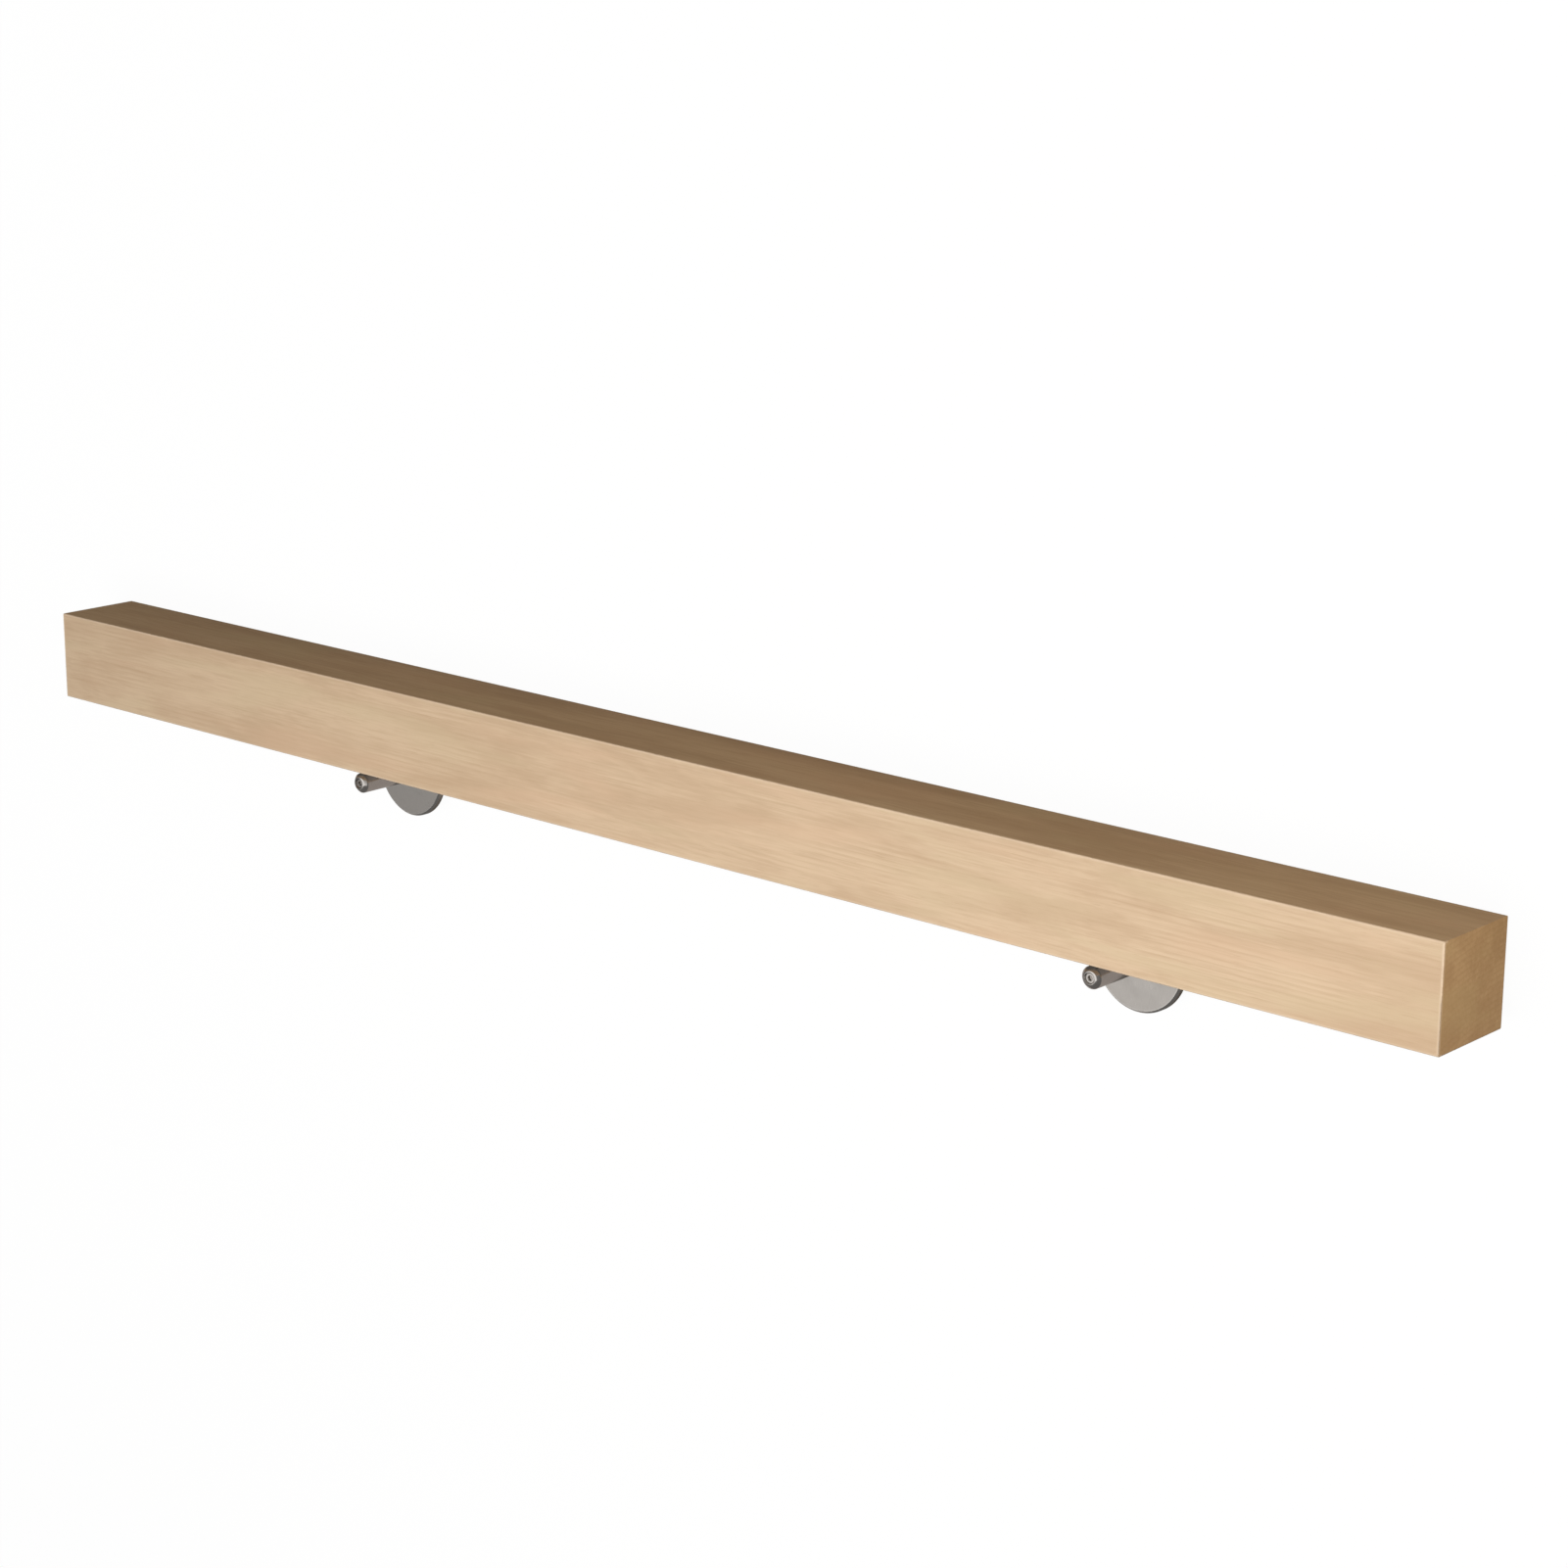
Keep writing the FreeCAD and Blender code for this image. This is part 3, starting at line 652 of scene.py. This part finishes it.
def saddle_screw_mesh(name):
    """Head face at the origin, shank up Y."""
    sink = SADDLE_SCREW_HEAD - SADDLE_SCREW_RADIUS
    outline = [(0, 0), (0, SADDLE_SCREW_HEAD), (sink, SADDLE_SCREW_RADIUS)]
    outline += threaded(sink + SADDLE_THREAD_TAPER, SADDLE_SCREW_LENGTH - SADDLE_THREAD_TAPER,
                        SADDLE_SCREW_RADIUS - SADDLE_THREAD_DEPTH, SADDLE_THREAD_DEPTH,
                        SADDLE_THREAD_PITCH)
    outline += [(SADDLE_SCREW_LENGTH, SADDLE_SCREW_RADIUS - SADDLE_SCREW_TIP),
                (SADDLE_SCREW_LENGTH, 0)]
    screw = turned_mesh(name, outline, turns=48, pitch=SADDLE_THREAD_PITCH)
    return cut(screw, (hex_socket(SADDLE_HEX_FLATS, SADDLE_HEX_DEPTH), Matrix()))


post_steel = steel_material("turned post steel", across=(500, 8000, 500), roughness=0.26,
                            spread=0.10, strength=0.05,
                            rims=[(POST_RADIUS, POST_TOP, POST_RIM_WEAR_AND_GLINT)])
brackets = {side: place @ Matrix.Translation((0, 0, -ARM_DROP))
            for side, place in under_rail.items()}
for side, place in brackets.items():
    new_piece(f"{side}_post_pin", post_mesh(f"{side}_post_pin"), place @ UPRIGHT, post_steel,
              "bracket_steel", f"{side}_post")
    new_piece(f"{side}_saddle_bolt", saddle_screw_mesh(f"{side}_saddle_bolt"),
              under_rail[side] @ UPRIGHT.inverted(), screw_steel, "screw_steel",
              f"{side}_saddle_screw")


# The arm is a half-inch stainless bar turned at both ends. In front it has a wide 45 degree
# chamfer round the mouth for the set screw, and behind a spigot that sits in the wall disc and
# is tapped for the wall stud. A cross bore takes the post.
ARM_RADIUS = 0.00635
ARM_PAST_POST = 0.0102
ARM_BEVEL, ARM_BREAK = 0.0022, 0.0005
STEP_START, STEP_NEAR, STEP_FAR = 0.1, 0.3, 0.9
MOUTH_RADIUS, MOUTH_DEPTH = 0.0034, 0.0008
SPIGOT_RADIUS = 0.0055
STUD_RADIUS, STUD_DEPTH, STUD_PITCH, STUD_THREAD = 0.0040, 0.0220, 0.00125, 0.0006
STUD_BREAK, STUD_POINT = 0.0004, 0.0015
SET_SCREW_RADIUS = 0.0030
ARM_RIM_WEAR_AND_GLINT = 0.0006
WALL = (Vector(mounts["left_wall_face"]["pos_m"]) - RAIL_START).dot(TO_WALL) - RAIL_SIDE / 2
DISC_THICKNESS = 0.0044
DISC_FRONT = WALL - DISC_THICKNESS


def arm_mesh(name):
    """The bar along Y with the post's axis at the origin. Each edge of the chamfer is broken in
    two short steps."""
    bore = SET_SCREW_RADIUS + HOLE_CLEARANCE
    outline = [
        (0.0, 0.0),
        (0.0, bore),
        (-ARM_PAST_POST + MOUTH_DEPTH, bore),
        (-ARM_PAST_POST + MOUTH_DEPTH, MOUTH_RADIUS),
        (-ARM_PAST_POST, MOUTH_RADIUS),
        (-ARM_PAST_POST, ARM_RADIUS - ARM_BEVEL - ARM_BREAK),
        (-ARM_PAST_POST + STEP_NEAR * ARM_BREAK, ARM_RADIUS - ARM_BEVEL + STEP_START * ARM_BREAK),
        (-ARM_PAST_POST + ARM_BREAK, ARM_RADIUS - ARM_BEVEL + STEP_FAR * ARM_BREAK),
        (-ARM_PAST_POST + ARM_BEVEL - STEP_FAR * ARM_BREAK, ARM_RADIUS - ARM_BREAK),
        (-ARM_PAST_POST + ARM_BEVEL - STEP_START * ARM_BREAK, ARM_RADIUS - STEP_NEAR * ARM_BREAK),
        (-ARM_PAST_POST + ARM_BEVEL + ARM_BREAK, ARM_RADIUS),
        (DISC_FRONT, ARM_RADIUS),
        (DISC_FRONT, SPIGOT_RADIUS),
        (WALL, SPIGOT_RADIUS),
        (WALL, STUD_RADIUS + STUD_BREAK),
    ]
    outline += threaded(WALL - STUD_BREAK, WALL - STUD_DEPTH, STUD_RADIUS,
                        -STUD_THREAD, -STUD_PITCH)
    outline += [(WALL - STUD_DEPTH, STUD_RADIUS - STUD_THREAD),
                (WALL - STUD_DEPTH - STUD_POINT, 0.0)]
    bored = turned_mesh("post bore", [
        (-POST_SEAT, 0),
        (-POST_SEAT, POST_RADIUS + HOLE_CLEARANCE),
        (2 * ARM_RADIUS, POST_RADIUS + HOLE_CLEARANCE),
        (2 * ARM_RADIUS, 0),
    ], turns=64)
    return cut(turned_mesh(name, outline, pitch=STUD_PITCH), (bored, UPRIGHT))


bar_steel = steel_material("brushed bar steel", across=(9000, 350, 9000), roughness=0.20,
                           spread=0.08, strength=0.05,
                           rims=[(ARM_RADIUS, -ARM_PAST_POST + ARM_BEVEL, ARM_RIM_WEAR_AND_GLINT),
                                 (ARM_RADIUS - ARM_BEVEL, -ARM_PAST_POST, ARM_RIM_WEAR_AND_GLINT)])
for side, place in brackets.items():
    new_piece(f"{side}_arm_bar", arm_mesh(f"{side}_arm_bar"), place, bar_steel,
              "bracket_steel", f"{side}_arm")


# The set screw is a short stainless grub with a hexagon socket. It is screwed into the arm's
# mouth until its tip bears on the flat of the post, and so holds the bracket together.
SET_SCREW_HEAD = -ARM_PAST_POST + MOUTH_DEPTH
SET_SCREW_CHAMFER, CHAMFER_ROUND = 0.0004, 0.2
SET_SCREW_TAPER, SET_SCREW_TIP = 0.0004, 0.001
SET_HEX_FLATS, SET_HEX_DEPTH = 0.003, 0.002


def set_screw_mesh(name):
    """Head face at the origin, tip up Y."""
    length = -POST_FLAT_AT - SET_SCREW_HEAD
    outline = [(0, 0), (0, SET_SCREW_RADIUS - SET_SCREW_CHAMFER),
               (SET_SCREW_CHAMFER * (1 - CHAMFER_ROUND),
                SET_SCREW_RADIUS - SET_SCREW_CHAMFER * CHAMFER_ROUND)]
    outline += threaded(SET_SCREW_CHAMFER, length - SET_SCREW_TAPER,
                        SET_SCREW_RADIUS - STUD_THREAD, STUD_THREAD, STUD_PITCH)
    outline += [(length, SET_SCREW_RADIUS - SET_SCREW_TIP), (length, 0)]
    screw = turned_mesh(name, outline, turns=64, pitch=STUD_PITCH)
    return cut(screw, (hex_socket(SET_HEX_FLATS, SET_HEX_DEPTH), Matrix()))


for side, place in brackets.items():
    new_piece(f"{side}_clamping_screw", set_screw_mesh(f"{side}_clamping_screw"),
              place @ Matrix.Translation((0, SET_SCREW_HEAD, 0)), screw_steel,
              "screw_steel", f"{side}_set_screw")


# The wall disc is a round stainless plate, 58 mm across and bevelled round its front rim, that
# covers the wall fixing. It slides over the arm's spigot and is held flat against the wall.
DISC_RADIUS = 0.0291
DISC_BEVEL = 0.0012
DISC_HOLE = SPIGOT_RADIUS + HOLE_CLEARANCE
DISC_BACK_BREAK = 0.0003
DISC_RIM_WEAR_AND_GLINT = 0.0008
plate_steel = steel_material("brushed plate steel", across=(7000, 7000, 260), roughness=0.30,
                             spread=0.12, strength=0.06,
                             rims=[(DISC_RADIUS, DISC_FRONT + DISC_BEVEL, DISC_RIM_WEAR_AND_GLINT),
                                   (DISC_RADIUS - DISC_BEVEL, DISC_FRONT, DISC_RIM_WEAR_AND_GLINT)])
for side, place in brackets.items():
    disc = turned_mesh(f"{side}_disc_plate", [
        (DISC_FRONT, DISC_HOLE),
        (DISC_FRONT, DISC_RADIUS - DISC_BEVEL),
        (DISC_FRONT + DISC_BEVEL, DISC_RADIUS),
        (WALL - DISC_BACK_BREAK, DISC_RADIUS),
        (WALL, DISC_RADIUS - DISC_BACK_BREAK),
        (WALL, DISC_HOLE),
    ], turns=160)
    new_piece(f"{side}_disc_plate", disc, place, plate_steel, "bracket_steel", f"{side}_wall_disc")


# A plain pale studio floor. It looks nearly white, and what bounces from it is dimmer and warm, as
# in the photograph's room, partly a painted glow that is brighter towards the right. The steel
# mirrors a painted reflection: a greyer floor, darker away from the rail, with a painted shadow
# under each disc.
# The rail lies on its back: the photograph's front is overhead here, and its upward is +Y.
FLOOR_REACH = 30
FLOOR_WHITE = (0.93, 0.93, 0.93, 1)
FLOOR_BOUNCE = (0.46, 0.358, 0.230, 1)
FLOOR_GLOW = 0.96
PAINTED_BOUNCE_SHARE = 0.7
GLOW_LEFT, GLOW_RIGHT = -0.6, 0.3
GLOW_DIM, GLOW_BRIGHT = 0.83, 1.09
MIRRORED_GREY = (0.400, 0.362, 0.340, 1)
MIRRORED_DARK = (0.10, 0.085, 0.07, 1)
DARK_BELOW, GREY_BELOW = -1.0, -0.1
GREY_ABOVE, DARK_ABOVE = 0.0, 0.06
SHADOW_DROP = 0.015
SHADOW_RADIUS, SHADOW_EDGE = 0.034, 0.039
floor_corners = [(x * FLOOR_REACH, y * FLOOR_REACH, 0)
                 for x, y in ((-1, -1), (1, -1), (1, 1), (-1, 1))]
floor_mesh = bpy.data.meshes.new("studio_floor")
floor_mesh.from_pydata(floor_corners, [], [(0, 1, 2, 3)])
floor_paint = bpy.data.materials.new("studio floor")
floor_paint.use_nodes = True
paint = Nodes(floor_paint.node_tree)
floor_paint.node_tree.nodes.remove(floor_paint.node_tree.nodes["Principled BSDF"])
rays = paint.add("ShaderNodeLightPath").outputs
bounce = paint.add("ShaderNodeBsdfDiffuse")
bounce.inputs["Color"].default_value = FLOOR_BOUNCE
white = paint.add("ShaderNodeBsdfDiffuse")
white.inputs["Color"].default_value = FLOOR_WHITE
glow = paint.add("ShaderNodeEmission")
mirrored = paint.add("ShaderNodeEmission")
along, upward = paint.split(paint.own_place())[:2]
# Painted reflection for the steel: grey near the rail and darker away from it, with a painted
# shadow round each disc.
grey = paint.maths("MULTIPLY", paint.spread(upward, DARK_BELOW, GREY_BELOW),
                   paint.spread(upward, DARK_ABOVE, GREY_ABOVE))
for place in brackets.values():
    under = place @ Vector((0, WALL, -SHADOW_DROP))
    off_along = paint.squared(paint.maths("SUBTRACT", along, under.x))
    off_upward = paint.squared(paint.maths("SUBTRACT", upward, under.y))
    reach = paint.maths("SQRT", paint.maths("ADD", off_along, off_upward))
    grey = paint.maths("MULTIPLY", grey, paint.spread(reach, SHADOW_RADIUS, SHADOW_EDGE))
paint.feed(mirrored.inputs["Color"], paint.blend("MIX", grey, MIRRORED_DARK, MIRRORED_GREY))


def mixed(amount, first, second):
    """Mixes two shaders of the floor."""
    mix = paint.add("ShaderNodeMixShader")
    paint.feed(mix.inputs[0], amount)
    paint.feed(mix.inputs[1], first.outputs[0])
    paint.feed(mix.inputs[2], second.outputs[0])
    return mix


seen = mixed(FLOOR_GLOW, white, glow)
# A painted glow stands in for light bounced from the floor, brighter towards the right.
painted_bounce_glow = paint.add("ShaderNodeEmission")
painted_bounce_glow.inputs["Color"].default_value = FLOOR_BOUNCE
paint.feed(painted_bounce_glow.inputs["Strength"],
           paint.spread(along, GLOW_LEFT, GLOW_RIGHT, GLOW_DIM, GLOW_BRIGHT))
lit = mixed(rays["Is Camera Ray"], mixed(PAINTED_BOUNCE_SHARE, bounce, painted_bounce_glow), seen)
paint.feed(floor_paint.node_tree.nodes["Material Output"].inputs["Surface"],
           mixed(rays["Is Glossy Ray"], lit, mirrored).outputs[0])
floor_mesh.materials.append(floor_paint)
floor = bpy.data.objects.new("studio_floor", floor_mesh)
bpy.context.scene.collection.objects.link(floor)


# Two soft studio lights: the key overhead, which is in front of the rail, and a warm one for its
# right end. The sky fills in, and the steel mirrors it bright in front, dark towards the foot of
# the photograph and paler again towards its top.
SKY_TINT = (1.0, 0.98, 0.96, 1)
SKY_LOW, SKY_HIGH = 0.45, 0.95
SKY_DIM, SKY_BRIGHT = 0.14, 0.82
FRONT_STARTS, FRONT_FULL, FRONT_BRIGHT = 0.636, 0.823, 0.92
LOW_DARK, LOW_CLEAR = -0.31, -0.19
TOP_STARTS, TOP_FULL, TOP_BRIGHT = 0.3, 0.9, 0.5
MIRROR_FILL = 0.16


def soft_light(name, spot, aim, size, power, colour):
    """An area light that lights the surfaces but isn't mirrored by the steel."""
    lamp = bpy.data.lights.new(name, "AREA")
    lamp.shape = "RECTANGLE"
    lamp.size, lamp.size_y = size
    lamp.energy = power
    lamp.color = colour
    holder = bpy.data.objects.new(name, lamp)
    holder.location = spot
    holder.rotation_euler = (Vector(aim) - Vector(spot)).to_track_quat("-Z", "Y").to_euler()
    holder.visible_glossy = False
    bpy.context.scene.collection.objects.link(holder)


soft_light("key", spot=(0.30, 0.0, 2.3), aim=(0.08, 0, 0.03), size=(1.6, 1.4), power=35.5,
           colour=(1.0, 0.985, 0.96))
soft_light("end", spot=(2.4, 0.5, 0.7), aim=(0.5, 0, 0.03), size=(1.2, 0.8), power=16.5,
           colour=(1.0, 0.90, 0.77))
world = bpy.data.worlds.new("studio")
bpy.context.scene.world = world
world.use_nodes = True
sky = Nodes(world.node_tree)
upward, overhead = sky.split(sky.add("ShaderNodeTexCoord").outputs["Generated"])[1:]
shade = sky.spread(overhead, SKY_LOW, SKY_HIGH, SKY_DIM, SKY_BRIGHT)
front = sky.maths("MULTIPLY", sky.spread(overhead, FRONT_STARTS, FRONT_FULL, 0.0, FRONT_BRIGHT),
                  sky.spread(upward, LOW_DARK, LOW_CLEAR))
top = sky.spread(upward, TOP_STARTS, TOP_FULL, 0.0, TOP_BRIGHT)
mirror = sky.maths("ADD", sky.maths("ADD", front, top), MIRROR_FILL)
to_steel = sky.add("ShaderNodeLightPath").outputs["Is Glossy Ray"]
strength = sky.add("ShaderNodeMix", data_type="FLOAT")
for number, source in ((0, to_steel), (2, shade), (3, mirror)):
    sky.feed(strength.inputs[number], source)
background = world.node_tree.nodes["Background"]
background.inputs["Color"].default_value = SKY_TINT
sky.feed(background.inputs["Strength"], strength.outputs[0])
bpy.context.scene.view_settings.view_transform = "Standard"


# The camera stands where the photograph was taken from, in front of the rail and above its top,
# measured from the rail's own corner.
LENS_MM, SENSOR_MM = 77.03, 36.0
CLIP_END = 100.0
CAMERA_AT = Vector((1.8357, -1.3134, 0.5295))
CAMERA_RIGHT = Vector((0.74202, 0.67036, 0.00466))
CAMERA_AHEAD = Vector((-0.64680, 0.71774, -0.25788))
camera_data = bpy.data.cameras.new("camera")
camera_data.lens = LENS_MM
camera_data.sensor_width = SENSOR_MM
camera_data.clip_end = CLIP_END
camera = bpy.data.objects.new("camera", camera_data)
bpy.context.scene.collection.objects.link(camera)
above = CAMERA_RIGHT.cross(CAMERA_AHEAD)
facing = Matrix((CAMERA_RIGHT, above, -CAMERA_AHEAD)).transposed().to_4x4()
camera.matrix_world = HANDRAIL @ Matrix.Translation(CAMERA_AT) @ facing
bpy.context.scene.camera = camera
